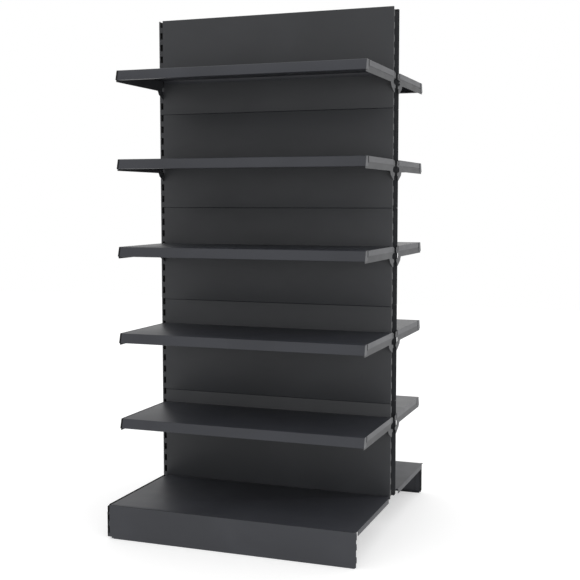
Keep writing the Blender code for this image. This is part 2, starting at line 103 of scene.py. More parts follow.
def noise(tree, scale, detail, distortion=0.0, stretch=None):
    """Noise on the piece's own coordinates, in metres. Scale is a number or a socket."""
    place = tree.nodes.new("ShaderNodeTexCoord").outputs["Object"]
    if stretch:
        mapping = tree.nodes.new("ShaderNodeMapping")
        mapping.inputs["Scale"].default_value = stretch
        tree.links.new(place, mapping.inputs["Vector"])
        place = mapping.outputs["Vector"]
    texture = tree.nodes.new("ShaderNodeTexNoise")
    texture.inputs["Detail"].default_value = detail
    texture.inputs["Distortion"].default_value = distortion
    tree.links.new(place, texture.inputs["Vector"])
    if isinstance(scale, bpy.types.NodeSocket):
        tree.links.new(scale, texture.inputs["Scale"])
    else:
        texture.inputs["Scale"].default_value = scale
    return texture.outputs["Fac"]


def sums(tree, operation, first, second):
    """One step of arithmetic. Each side is a number or a socket."""
    node = tree.nodes.new("ShaderNodeMath")
    node.operation = operation
    for socket, value in zip(node.inputs, (first, second)):
        if isinstance(value, bpy.types.NodeSocket):
            tree.links.new(value, socket)
        else:
            socket.default_value = value
    return node.outputs["Value"]


def ranged(tree, value, span, onto=(0.0, 1.0)):
    """A value taken smoothly from one span onto another."""
    node = tree.nodes.new("ShaderNodeMapRange")
    node.interpolation_type = "SMOOTHSTEP"
    for socket, number in zip(("From Min", "From Max", "To Min", "To Max"), (*span, *onto)):
        node.inputs[socket].default_value = number
    tree.links.new(value, node.inputs["Value"])
    return node.outputs["Result"]


def coat_skin():
    """The cured powder: orange peel, a little cloud in the tone and in the gloss, fine dark flecks."""
    tree, given, result = shader_group(
        "coat_skin", {"Peel Scale": PEEL_SCALE, "Cloud Scale": 3.0}, ("Height", "Tone", "Gloss")
    )
    peel = noise(tree, given.outputs["Peel Scale"], detail=2.0)
    grain_scale = sums(tree, "MULTIPLY", given.outputs["Peel Scale"], GRAIN_FINENESS)
    grain = noise(tree, grain_scale, detail=1.0)
    height = sums(tree, "ADD", peel, sums(tree, "MULTIPLY", grain, GRAIN_HEIGHT))
    patches = noise(tree, given.outputs["Cloud Scale"], detail=4.0, distortion=0.6)
    cloud = ranged(tree, patches, (0.30, 0.70))
    fleck = ranged(tree, noise(tree, FLECK_SCALE, detail=0.0), (0.62, 0.74), (0.0, 0.35))
    tone = sums(tree, "SUBTRACT", cloud, fleck)
    wiped = noise(tree, WIPE_SCALE, detail=3.0, distortion=0.8, stretch=WIPE_STRETCH)
    wiped = sums(tree, "MULTIPLY", wiped, WIPE_SHARE)
    gloss = sums(tree, "ADD", wiped, sums(tree, "MULTIPLY", grain, GRAIN_SHARE))
    for socket, value in (("Height", height), ("Tone", tone), ("Gloss", gloss)):
        tree.links.new(value, result.inputs[socket])
    return tree


def thin_edges():
    """Where the coat is thin: a narrow band along sharp edges, broken up as it wears."""
    tree, given, result = shader_group("thin_edges", {"Band": 0.0012, "Patch Scale": 70.0}, ("Wear",))
    soft = tree.nodes.new("ShaderNodeBevel")
    soft.samples = 6
    tree.links.new(given.outputs["Band"], soft.inputs["Radius"])
    along = tree.nodes.new("ShaderNodeVectorMath")
    along.operation = "DOT_PRODUCT"
    tree.links.new(soft.outputs["Normal"], along.inputs[0])
    tree.links.new(tree.nodes.new("ShaderNodeNewGeometry").outputs["Normal"], along.inputs[1])
    edge = ranged(tree, along.outputs["Value"], (0.80, 0.99), (1.0, 0.0))
    patch = ranged(tree, noise(tree, given.outputs["Patch Scale"], detail=5.0), (0.42, 0.62), (0.15, 1.0))
    tree.links.new(sums(tree, "MULTIPLY", edge, patch), result.inputs["Wear"])
    return tree


def settled_dust():
    """Fine dust on what faces up, in patches left by wiping."""
    tree, given, result = shader_group("settled_dust", {"Patch Scale": 5.0}, ("Dust",))
    split = tree.nodes.new("ShaderNodeSeparateXYZ")
    tree.links.new(tree.nodes.new("ShaderNodeNewGeometry").outputs["Normal"], split.inputs["Vector"])
    upward = ranged(tree, split.outputs["Z"], (0.75, 0.98))
    patch = ranged(tree, noise(tree, given.outputs["Patch Scale"], detail=6.0, distortion=0.4), (0.35, 0.75))
    speck = ranged(tree, noise(tree, SPECK_SCALE, detail=2.0), (0.45, 0.75), (0.3, 1.0))
    mask = sums(tree, "MULTIPLY", upward, sums(tree, "MULTIPLY", patch, speck))
    tree.links.new(mask, result.inputs["Dust"])
    return tree


def painted_end_shade():
    """Painted shade: a dark, dull strip with a ragged side, for the shade where a piece butts against
    another.

    It lies past Start along the bay, to the left of it or, with a Way of minus one, to the right.
    It also lies past Edge in depth, at the front and at the rear.
    """
    tree, given, result = shader_group("painted_end_shade", {"Start": -9.0, "Way": 1.0, "Edge": 9.0}, ("Painted Shade",))
    split = tree.nodes.new("ShaderNodeSeparateXYZ")
    tree.links.new(tree.nodes.new("ShaderNodeTexCoord").outputs["Object"], split.inputs["Vector"])
    past_end = sums(tree, "SUBTRACT", given.outputs["Start"], split.outputs["X"])
    past_end = sums(tree, "MULTIPLY", past_end, given.outputs["Way"])
    past_edge = sums(tree, "ABSOLUTE", split.outputs["Y"], 0.0)
    past_edge = sums(tree, "SUBTRACT", past_edge, given.outputs["Edge"])
    past = sums(tree, "MAXIMUM", past_end, past_edge)
    ragged = sums(tree, "MULTIPLY", noise(tree, RAGGED_SCALE, detail=3.0), RAGGED_DEPTH)
    shade_strip = ranged(tree, sums(tree, "SUBTRACT", past, ragged), (0.0, SHADE_FADE))
    tree.links.new(shade_strip, result.inputs["Painted Shade"])
    return tree


SKIN = coat_skin()
EDGES = thin_edges()
DUST = settled_dust()
END_SHADE_GROUP = painted_end_shade()


def placed(tree, group, values):
    """The outputs of a node group put into a tree, with some of its inputs set."""
    node = tree.nodes.new("ShaderNodeGroup")
    node.node_tree = group
    for socket, value in values.items():
        node.inputs[socket].default_value = value
    return node.outputs


def mixed(tree, factor, first, second):
    """Two colours by a factor. The first is a colour or a socket."""
    node = tree.nodes.new("ShaderNodeMix")
    node.data_type = "RGBA"
    tree.links.new(factor, node.inputs["Factor"])
    if isinstance(first, bpy.types.NodeSocket):
        tree.links.new(first, node.inputs["A"])
    else:
        node.inputs["A"].default_value = (*first, 1.0)
    node.inputs["B"].default_value = (*second, 1.0)
    return node.outputs["Result"]


def powder_coat(name, grey, cloud_scale, roughness, wear, dust, end_shade=None, shine=COAT_SHINE):
    """Satin powder coat on steel, from the shared skin, edge and dust groups, with a painted end shade strip
    where one is given.
    """
    paint = bpy.data.materials.new(name)
    paint.use_nodes = True
    tree = paint.node_tree
    shader = tree.nodes["Principled BSDF"]
    skin = placed(tree, SKIN, {"Cloud Scale": cloud_scale})
    tone = mixed(tree, skin["Tone"], [c * CLOUD_DARK for c in grey], [c * CLOUD_LIGHT for c in grey])
    worn = sums(tree, "MULTIPLY", placed(tree, EDGES, {})["Wear"], wear)
    tone = mixed(tree, worn, tone, WORN_EDGE)
    dusted = sums(tree, "MULTIPLY", placed(tree, DUST, {})["Dust"], dust)
    tone = mixed(tree, dusted, tone, DUST_GREY)
    shader.inputs["Specular IOR Level"].default_value = shine
    gloss = ranged(tree, skin["Gloss"], (0.25, 0.75), roughness)
    gloss = sums(tree, "ADD", gloss, sums(tree, "MULTIPLY", dusted, DUST_DULL))
    # Painted shade strip, where one is given: darker and duller.
    if end_shade:
        shade_strip = placed(tree, END_SHADE_GROUP, end_shade)["Painted Shade"]
        tone = mixed(tree, shade_strip, tone, [c * SHADE_TONE for c in grey])
        gloss = sums(tree, "MAXIMUM", gloss, sums(tree, "MULTIPLY", shade_strip, SHADE_DULL))
    tree.links.new(tone, shader.inputs["Base Color"])
    tree.links.new(gloss, shader.inputs["Roughness"])
    bump = tree.nodes.new("ShaderNodeBump")
    bump.inputs["Strength"].default_value = PEEL_STRENGTH
    bump.inputs["Distance"].default_value = PEEL_DEPTH
    tree.links.new(skin["Height"], bump.inputs["Height"])
    tree.links.new(bump.outputs["Normal"], shader.inputs["Normal"])
    return paint


def smooth_folds():
    """Joins a solid's triangles and shades its folds round, with the cut edges left sharp."""
    tree = bpy.data.node_groups.new("smooth_folds", "GeometryNodeTree")
    tree.interface.new_socket("Solid", in_out="INPUT", socket_type="NodeSocketGeometry")
    tree.interface.new_socket("Fold Angle", in_out="INPUT", socket_type="NodeSocketFloat")
    tree.interface.new_socket("Solid", in_out="OUTPUT", socket_type="NodeSocketGeometry")
    given = tree.nodes.new("NodeGroupInput")
    joined = tree.nodes.new("GeometryNodeMergeByDistance")
    joined.inputs["Distance"].default_value = JOIN_DISTANCE
    shaded = tree.nodes.new("GeometryNodeSetMeshNormal")
    shaded.mode = "SHARPNESS"
    shaded.inputs["Remove Custom"].default_value = True
    angle = tree.nodes.new("GeometryNodeInputMeshEdgeAngle")
    sharp = tree.nodes.new("FunctionNodeCompare")
    sharp.operation = "GREATER_THAN"
    tree.links.new(given.outputs["Solid"], joined.inputs["Geometry"])
    tree.links.new(joined.outputs["Geometry"], shaded.inputs["Mesh"])
    tree.links.new(angle.outputs["Unsigned Angle"], sharp.inputs["A"])
    tree.links.new(given.outputs["Fold Angle"], sharp.inputs["B"])
    tree.links.new(sharp.outputs["Result"], shaded.inputs["Edge Sharpness"])
    tree.links.new(shaded.outputs["Mesh"], tree.nodes.new("NodeGroupOutput").inputs["Solid"])
    return tree


FOLDS = smooth_folds()


def identifier(tree, socket):
    """The inner name of a tree's input, by which a modifier sets it."""
    return next(item.identifier for item in tree.interface.items_tree if item.name == socket)


def soften(piece):
    """Smooth folds, and the small radius that the coat leaves on each cut edge."""
    folds = piece.modifiers.new("smooth_folds", "NODES")
    folds.node_group = FOLDS
    folds[identifier(FOLDS, "Fold Angle")] = FOLD_ANGLE
    edge = piece.modifiers.new("coat_edge", "BEVEL")
    edge.width = COAT_EDGE
    edge.segments = 2
    edge.limit_method = "ANGLE"
    edge.angle_limit = FOLD_ANGLE
    edge.harden_normals = True


def dress(name, paint):
    """Gives a solid its coat."""
    nodes[name].material_slots[0].material = paint
    soften(nodes[name])


def mesh_of(name, shape):
    """The mesh of a shape that is worked out."""
    mesh = bpy.data.meshes.new(name)
    shape.to_mesh(mesh)
    shape.free()
    return mesh


def set_up(name, data):
    """A new piece, lamp or camera, put in the scene."""
    piece = bpy.data.objects.new(name, data)
    scene.collection.objects.link(piece)
    return piece


def slotted_tube(low, high):
    """The skin of the tube, ring by ring, with the slots left open in its front and rear walls."""
    left = low.x + SLOT_INSET
    right = high.x - SLOT_INSET
    inset = UPRIGHT_CORNER
    section = []
    for start, x, y, wall in (
        (180, low.x + inset, low.y + inset, [(left, low.y), (right, low.y)]),
        (270, high.x - inset, low.y + inset, []),
        (0, high.x - inset, high.y - inset, [(right, high.y), (left, high.y)]),
        (90, low.x + inset, high.y - inset, []),
    ):
        for step in range(UPRIGHT_CORNER_STEPS + 1):
            turn = math.radians(start + 90 * step / UPRIGHT_CORNER_STEPS)
            section.append((x + inset * math.cos(turn), y + inset * math.sin(turn)))
        section.extend(wall)
    levels = [low.z]
    for row in reversed(range(SLOT_ROWS)):
        sill = high.z - SLOT_SILL - row * SLOT_PITCH
        levels.extend((sill, min(sill + SLOT_HEIGHT, high.z)))
    shape = bmesh.new()
    rings = [[shape.verts.new((x, y, z)) for x, y in section] for z in levels]
    slotted = {(left, right), (right, left)}
    for i in range(len(levels) - 1):
        for j, here in enumerate(section):
            k = (j + 1) % len(section)
            if i % 2 and (here[0], section[k][0]) in slotted:
                continue
            shape.faces.new((rings[i][j], rings[i][k], rings[i + 1][k], rings[i + 1][j]))
    return mesh_of("upright_tube", shape)


tube_mesh = slotted_tube(*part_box("upright"))
tube_mesh.materials.append(powder_coat(
    "upright_coat", UPRIGHT_GREY, cloud_scale=4.0, roughness=(0.45, 0.53), wear=0.12, dust=0.02
))
# Second coat, on the inside walls: near black, as painted shade inside the tube.
tube_mesh.materials.append(powder_coat(
    "upright_inside_painted_shade", INSIDE_PAINTED_SHADE, cloud_scale=4.0, roughness=(0.60, 0.70), wear=0.0, dust=0.0,
    shine=INSIDE_SHADE_SHINE
))
tube = set_up("upright_tube", tube_mesh)
wall = tube.modifiers.new("wall", "SOLIDIFY")
wall.thickness = UPRIGHT_WALL
wall.offset = -1.0
wall.use_even_offset = True
wall.material_offset = 1
soften(tube)
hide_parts("upright")
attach(tube, "frame")

# Base legs: two side plates under a top web, hooked into the lowest slots, with a tapped plate for each foot.
# Short fillet welds join the tapped plates to the sides, coated over. A thin cheek stands on each web,
# outside the end of the base shelf, and keeps the shelf from sliding along.
LEG_GREY = (0.028, 0.0295, 0.033)
# The cheek's coat is near black and dull: painted shade, for the shaded gap beside the base shelf's end.
CHEEK_PAINTED_SHADE = (0.006, 0.0062, 0.0066)
CHEEK_SHADE_SHINE = 0.05
WELD_WIDTH = 0.0026
WELD_STEP = 0.0019
WELD_ASIDE = 0.0072
FOOT_PLATE_RUN = 0.040
LEG_SOLE = 0.0250
CHEEK_SHEET = 0.0015
CHEEK_GAP = 0.0060
CHEEK_BACK = 0.0460
CHEEK_FRONT = 0.5375
CHEEK_TOP = 0.1374
CHEEK_LAP = 0.0010
CHEEK_CUT = 0.0040


def geometry_group(name, sockets):
    """An empty geometry tree with its inputs, and the nodes that stand for its two ends."""
    tree = bpy.data.node_groups.new(name, "GeometryNodeTree")
    for socket, kind in sockets.items():
        tree.interface.new_socket(socket, in_out="INPUT", socket_type="NodeSocket" + kind)
    tree.interface.new_socket("Result", in_out="OUTPUT", socket_type="NodeSocketGeometry")
    return tree, tree.nodes.new("NodeGroupInput"), tree.nodes.new("NodeGroupOutput")


def ended(tree, given, result, shape):
    """The last steps of a tree: real geometry with its paint."""
    real = tree.nodes.new("GeometryNodeRealizeInstances")
    painted = tree.nodes.new("GeometryNodeSetMaterial")
    tree.links.new(shape, real.inputs["Geometry"])
    tree.links.new(real.outputs["Geometry"], painted.inputs["Geometry"])
    tree.links.new(given.outputs["Paint"], painted.inputs["Material"])
    tree.links.new(painted.outputs["Geometry"], result.inputs["Result"])


def made(name, runs):
    """One plain mesh from one or more runs of geometry trees, each a tree with its values."""
    shape = bmesh.new()
    paints = []
    for tree, values in runs:
        maker = set_up(name + "_maker", bpy.data.meshes.new(name + "_maker"))
        modifier = maker.modifiers.new(tree.name, "NODES")
        modifier.node_group = tree
        for socket, value in values.items():
            modifier[identifier(tree, socket)] = value
        graph = bpy.context.evaluated_depsgraph_get()
        mesh = bpy.data.meshes.new_from_object(maker.evaluated_get(graph))
        paints = list(mesh.materials)
        shape.from_mesh(mesh)
        maker.modifiers.remove(modifier)
        bpy.data.objects.remove(maker, do_unlink=True)
    mesh = mesh_of(name, shape)
    for paint in paints:
        mesh.materials.append(paint)
    return set_up(name, mesh)


def weld_bead():
    """A fillet weld: overlapping drops along a line."""
    tree, given, result = geometry_group(
        "weld_bead",
        {"First": "Vector", "Last": "Vector", "Drops": "Int", "Width": "Float", "Paint": "Material"},
    )
    line = tree.nodes.new("GeometryNodeMeshLine")
    line.mode = "END_POINTS"
    drop = tree.nodes.new("GeometryNodeMeshUVSphere")
    drop.inputs["Segments"].default_value = 8
    drop.inputs["Rings"].default_value = 5
    drop.inputs["Radius"].default_value = 0.5
    smooth = tree.nodes.new("GeometryNodeSetShadeSmooth")
    row = tree.nodes.new("GeometryNodeInstanceOnPoints")
    tree.links.new(given.outputs["Drops"], line.inputs["Count"])
    tree.links.new(given.outputs["First"], line.inputs["Start Location"])
    tree.links.new(given.outputs["Last"], line.inputs["Offset"])
    tree.links.new(drop.outputs["Mesh"], smooth.inputs["Geometry"])
    tree.links.new(line.outputs["Mesh"], row.inputs["Points"])
    tree.links.new(smooth.outputs["Geometry"], row.inputs["Instance"])
    tree.links.new(given.outputs["Width"], row.inputs["Scale"])
    ended(tree, given, result, row.outputs["Instances"])
    return tree


def drawn_out(name, outline, way, paint):
    """A solid from a flat outline of points, drawn out by a vector."""
    shape = bmesh.new()
    face = shape.faces.new([shape.verts.new(point) for point in outline])
    grown = bmesh.ops.extrude_face_region(shape, geom=[face])["geom"]
    moved = [item for item in grown if isinstance(item, bmesh.types.BMVert)]
    bmesh.ops.translate(shape, vec=way, verts=moved)
    bmesh.ops.recalc_face_normals(shape, faces=shape.faces)
    mesh = mesh_of(name, shape)
    mesh.materials.append(paint)
    piece = set_up(name, mesh)
    soften(piece)
    return piece


BEAD = weld_bead()
leg_coat = powder_coat(
    "leg_coat", LEG_GREY, cloud_scale=5.0, roughness=(0.48, 0.56), wear=0.15, dust=0.04
)
# Painted shade: the cheeks get a near-black coat.
cheek_painted_shade = powder_coat(
    "cheek_painted_shade", CHEEK_PAINTED_SHADE, cloud_scale=5.0, roughness=(0.55, 0.62), wear=0.01, dust=0.0,
    shine=CHEEK_SHADE_SHINE
)
for side in ("front", "rear"):
    dress(side + "_base_leg", leg_coat)
    beads = []
    for spot in ("inner", "outer"):
        low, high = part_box(f"{side}_{spot}_foot")
        middle = (low + high) / 2
        for way in (-1, 1):
            beads.append((BEAD, {
                "First": (middle.x + way * WELD_ASIDE, middle.y - FOOT_PLATE_RUN / 2, LEG_SOLE),
                "Last": (middle.x + way * WELD_ASIDE, middle.y + FOOT_PLATE_RUN / 2, LEG_SOLE),
                "Drops": round(FOOT_PLATE_RUN / WELD_STEP),
                "Width": WELD_WIDTH,
                "Paint": leg_coat,
            }))
    welds = made(side + "_leg_welds", beads)
    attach(welds, "frame")
    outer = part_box(side + "_base_shelf")[0].x - CHEEK_GAP
    far, near = (-CHEEK_FRONT, -CHEEK_BACK) if side == "front" else (CHEEK_BACK, CHEEK_FRONT)
    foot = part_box(side + "_base_leg")[1].z - CHEEK_LAP
    profile = [
        (far, foot), (near, foot), (near, CHEEK_TOP - CHEEK_CUT), (near - CHEEK_CUT, CHEEK_TOP),
        (far + CHEEK_CUT, CHEEK_TOP), (far, CHEEK_TOP - CHEEK_CUT),
    ]
    points = [(outer, depth, height) for depth, height in profile]
    cheek = drawn_out(side + "_leg_cheek", points, (-CHEEK_SHEET, 0, 0), cheek_painted_shade)
    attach(cheek, "frame")

# Levelling feet: turned steel discs with a hexagon to turn them by, on a threaded stud.
# Bright zinc plated, and screwed into the plates of the legs.
ZINC_GREY = (0.56, 0.57, 0.58)
ZINC_WORN = (0.72, 0.72, 0.72)
ZINC_DARK = 0.80
ZINC_LIGHT = 1.08
ZINC_CLOUD_SCALE = 55.0
ZINC_EDGE = 0.0008
ZINC_WEAR = 0.5
TURNING_SCALE = 60.0
TURNING_STRETCH = (1.0, 1.0, 60.0)
TURNING_STRENGTH = 0.25
TURNING_DEPTH = 0.0001
THREAD_PITCH = 0.0015
THREAD_TOOTH = 0.0006
THREAD_START = 0.0008
THREAD_SHORT = 0.0025
THREAD_PROUD = 0.0001
CORE_RADIUS = 0.0042
CORE_CHAMFER = 0.0012
CORE_SUNK = 0.0004
HEX_RADIUS = 0.0078
HEX_FOOT = 0.0085
HEX_TOP = 0.0150
HEX_SIDES = 6
DISC_RADIUS = 0.0138
LATHE_STEPS = 32
LATHE_JOIN = 0.00001
# Profiles as radius and height, from the axis out, up and back to the axis
DISC_PROFILE = (
    (0, 0), (DISC_RADIUS - 0.0012, 0), (DISC_RADIUS - 0.0003, 0.0004), (DISC_RADIUS, 0.0012),
    (DISC_RADIUS, 0.0034), (DISC_RADIUS - 0.0004, 0.0040), (DISC_RADIUS - 0.0014, 0.0043),
    (0.0095, 0.0052), (0.0080, 0.0062), (0.0074, 0.0076), (0.0072, HEX_FOOT + 0.0004), (0, HEX_FOOT + 0.0004),
)
HEX_PROFILE = (
    (0, HEX_FOOT), (HEX_RADIUS - 0.0008, HEX_FOOT), (HEX_RADIUS, HEX_FOOT + 0.0006),
    (HEX_RADIUS, HEX_TOP - 0.0006), (HEX_RADIUS - 0.0008, HEX_TOP), (0, HEX_TOP),
)


def zinc_plate():
    """Zinc plating: fine turning lines, cloudy passivation and a worn crest."""
    metal = bpy.data.materials.new("zinc_plate")
    metal.use_nodes = True
    tree = metal.node_tree
    shader = tree.nodes["Principled BSDF"]
    cloud = ranged(tree, noise(tree, ZINC_CLOUD_SCALE, detail=5.0, distortion=0.5), (0.3, 0.7))
    tone = mixed(tree, cloud, [c * ZINC_DARK for c in ZINC_GREY], [c * ZINC_LIGHT for c in ZINC_GREY])
    worn = sums(tree, "MULTIPLY", placed(tree, EDGES, {"Band": ZINC_EDGE})["Wear"], ZINC_WEAR)
    tree.links.new(mixed(tree, worn, tone, ZINC_WORN), shader.inputs["Base Color"])
    lines = noise(tree, TURNING_SCALE, detail=2.0, stretch=TURNING_STRETCH)
    tree.links.new(ranged(tree, cloud, (0.0, 1.0), (0.30, 0.44)), shader.inputs["Roughness"])
    shader.inputs["Metallic"].default_value = 1.0
    bump = tree.nodes.new("ShaderNodeBump")
    bump.inputs["Strength"].default_value = TURNING_STRENGTH
    bump.inputs["Distance"].default_value = TURNING_DEPTH
    tree.links.new(lines, bump.inputs["Height"])
    tree.links.new(bump.outputs["Normal"], shader.inputs["Normal"])
    return metal


def turned(shape, profile, steps, centre):
    """Spins a profile of radius and height about a vertical axis."""
    line = [shape.verts.new((centre.x + radius, centre.y, height)) for radius, height in profile]
    edges = [shape.edges.new(pair) for pair in zip(line, line[1:])]
    bmesh.ops.spin(
        shape,
        geom=line + edges,
        cent=(centre.x, centre.y, 0),
        axis=(0, 0, 1),
        angle=2 * math.pi,
        steps=steps,
        use_merge=True,
    )


def stud_thread():
    """A thread: a small three-sided bar wound round the stud."""
    tree, given, result = geometry_group(
        "stud_thread",
        {"Foot": "Vector", "Turns": "Float", "Length": "Float", "Radius": "Float", "Tooth": "Float",
         "Paint": "Material"},
    )
    helix = tree.nodes.new("GeometryNodeCurveSpiral")
    helix.inputs["Resolution"].default_value = 16
    upright_normal = tree.nodes.new("GeometryNodeSetCurveNormal")
    upright_normal.mode = "Z_UP"
    tooth = tree.nodes.new("GeometryNodeCurvePrimitiveCircle")
    tooth.inputs["Resolution"].default_value = 3
    wound = tree.nodes.new("GeometryNodeCurveToMesh")
    wound.inputs["Fill Caps"].default_value = True
    seat = tree.nodes.new("GeometryNodeTransform")
    tree.links.new(given.outputs["Turns"], helix.inputs["Rotations"])
    tree.links.new(given.outputs["Length"], helix.inputs["Height"])
    tree.links.new(given.outputs["Radius"], helix.inputs["Start Radius"])
    tree.links.new(given.outputs["Radius"], helix.inputs["End Radius"])
    tree.links.new(given.outputs["Tooth"], tooth.inputs["Radius"])
    tree.links.new(helix.outputs["Curve"], upright_normal.inputs["Curve"])
    tree.links.new(upright_normal.outputs["Curve"], wound.inputs["Curve"])
    tree.links.new(tooth.outputs["Curve"], wound.inputs["Profile Curve"])
    tree.links.new(wound.outputs["Mesh"], seat.inputs["Geometry"])
    tree.links.new(given.outputs["Foot"], seat.inputs["Translation"])
    ended(tree, given, result, seat.outputs["Geometry"])
    return tree


THREAD = stud_thread()
zinc = zinc_plate()
for side in ("front", "rear"):
    for spot in ("inner", "outer"):
        name = f"{side}_{spot}_foot"
        low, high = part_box(name)
        middle = (low + high) / 2
        stud = [
            (0, HEX_TOP - CORE_SUNK), (CORE_RADIUS, HEX_TOP - CORE_SUNK),
            (CORE_RADIUS, high.z - CORE_CHAMFER), (CORE_RADIUS - CORE_CHAMFER, high.z), (0, high.z),
        ]
        shape = bmesh.new()
        turned(shape, DISC_PROFILE, LATHE_STEPS, middle)
        turned(shape, HEX_PROFILE, HEX_SIDES, middle)
        turned(shape, stud, LATHE_STEPS, middle)
        bmesh.ops.remove_doubles(shape, verts=shape.verts, dist=LATHE_JOIN)
        bmesh.ops.recalc_face_normals(shape, faces=shape.faces)
        mesh = mesh_of(name + "_turned", shape)
        mesh.shade_smooth()
        mesh.set_sharp_from_angle(angle=FOLD_ANGLE)
        mesh.materials.append(zinc)
        piece = set_up(name + "_turned", mesh)
        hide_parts(name)
        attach(piece, name)
        length = high.z - HEX_TOP - THREAD_SHORT
        thread = made(name + "_thread", [(THREAD, {
            "Foot": (middle.x, middle.y, HEX_TOP + THREAD_START),
            "Turns": length / THREAD_PITCH,
            "Length": length,
            "Radius": CORE_RADIUS + THREAD_PROUD,
            "Tooth": THREAD_TOOTH,
            "Paint": zinc,
        })])
        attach(thread, name)

# Back panels: shallow trays of one-millimetre sheet, stacked one on another between the uprights.
# Each has a notched flange at its own right, which hangs on the upright there, and they carry no load.
# Behind each joint the lower panel has a turned-up lip, so that no light comes through.
PANEL_GREY = (0.0270, 0.0284, 0.0315)
PANEL_COUNT = 5
LIP_SHEET = 0.0008
LIP_FIT = 0.0001
LIP_RISE = 0.0045
LIP_FOOT = 0.0030
LIP_INSET = 0.0020
panel_coat = powder_coat(
    "panel_coat", PANEL_GREY, cloud_scale=2.2, roughness=(0.46, 0.54), wear=0.08, dust=0.02
)
for side, way in (("front", 1), ("rear", -1)):
    for number in range(1, PANEL_COUNT + 1):
        name = f"{side}_panel_{number}"
        dress(name, panel_coat)
        # No joint lies above the top panel
        if number == 1:
            continue
        low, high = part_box(name)
        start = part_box("upright")[1].x + LIP_INSET
        outside = (high.y if side == "front" else low.y) + way * LIP_FIT
        inside = outside + way * LIP_SHEET
        foot = high.z - LIP_FOOT
        head = high.z + LIP_RISE
        profile = [(outside, foot), (inside, foot), (inside, head), (outside, head)]
        points = [(start, depth, height) for depth, height in profile]
        lip = drawn_out(name + "_lip", points, (high.x - LIP_INSET - start, 0, 0), panel_coat)
        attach(lip, "frame")

# Shelf brackets: cut from flat plate, with a hook over one slot edge and a tab in the slot below.
# The rear edge is cut out between the two, and a gusset runs down from the long band to the plate's foot.
# Each takes the place of the plain bracket, whose gusset is smaller and has no cut-out.
BRACKET_GREY = (0.030, 0.0315, 0.035)
SHELF_COUNT = 5
CORE_FACE = 0.044
CORNER_STEPS = 5
# Corners as depth from the panels' face, height from the shelf's top, and the radius that rounds them
BRACKET_CORNERS = (
    (-0.01105, -0.0011, 0.0), (-0.0137, -0.00375, 0.0), (-0.0278, -0.00375, 0.0100),
    (-0.0278, -0.02705, 0.0030), (-0.0168, -0.02705, 0.0008), (-0.0168, -0.0207, 0.0010),
    (-0.0137, -0.0207, 0.0), (-0.0137, -0.0285, 0.0020), (0.0085, -0.0285, 0.0105),
    (0.0085, -0.0500, 0.0105), (-0.0137, -0.0500, 0.0012), (-0.0137, -0.05325, 0.0),
    (-0.0247, -0.05325, 0.0020), (-0.0247, -0.06525, 0.0020), (-0.0137, -0.06525, 0.0010),
    (-0.0137, -0.0830, 0.0030), (-0.0030, -0.0830, 0.0060), (0.0385, -0.0615, 0.0070),
    (0.0480, -0.0465, 0.0040), (0.4040, -0.0465, 0.0030), (0.4040, -0.0393, 0.0008),
    (0.3870, -0.0393, 0.0010), (0.3870, -0.0255, 0.0010), (0.3630, -0.0255, 0.0010),
    (0.3630, -0.0011, 0.0),
)


def rounded(corners):
    """A closed outline whose corners are rounded off."""
    outline = []
    for i, (depth, height, radius) in enumerate(corners):
        corner = Vector((depth, height))
        back = Vector(corners[i - 1][:2]) - corner
        ahead = Vector(corners[(i + 1) % len(corners)][:2]) - corner
        if not radius:
            outline.append(corner)
            continue
        reach = radius / math.tan(back.angle(ahead) / 2)
        first = corner + back.normalized() * reach
        last = corner + ahead.normalized() * reach
        for step in range(CORNER_STEPS + 1):
            share = step / CORNER_STEPS
            outline.append(first.lerp(corner, share).lerp(corner.lerp(last, share), share))
    return outline


bracket_coat = powder_coat(
    "bracket_coat", BRACKET_GREY, cloud_scale=6.0, roughness=(0.45, 0.53), wear=0.15, dust=0.02
)
bracket_outline = rounded(BRACKET_CORNERS)
for side, way in (("front", -1), ("rear", 1)):
    for number in range(1, SHELF_COUNT + 1):
        shelf_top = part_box(f"{side}_shelf_{number}")[1].z
        for end in ("left", "right"):
            name = f"{side}_bracket_{number}_{end}"
            low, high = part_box(name)
            points = [
                (low.x, way * (CORE_FACE + depth), shelf_top + height) for depth, height in bracket_outline
            ]
            piece = drawn_out(name + "_plate", points, (high.x - low.x, 0, 0), bracket_coat)
            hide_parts(name)
            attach(piece, "frame")

# Shelves: folded sheet with a leaning nose for price strips, stiffened by a hat section underneath.
# The hat is spot welded through its two flanges, and each weld leaves a small round mark.
SHELF_GREY = (0.0310, 0.0328, 0.0395)
SHELF_SHADE_BAND = 0.0088
SHELF_RIB_AT = 0.210
FLANGE_MIDDLE = 0.031
FLANGE_UNDER = 0.0013
SPOT_COUNT = 9
SPOT_INSET = 0.060
SPOT_RADIUS = 0.0029
SPOT_SIDES = 12
SPOT_RIM = 0.00035
RIM_SIDES = 4


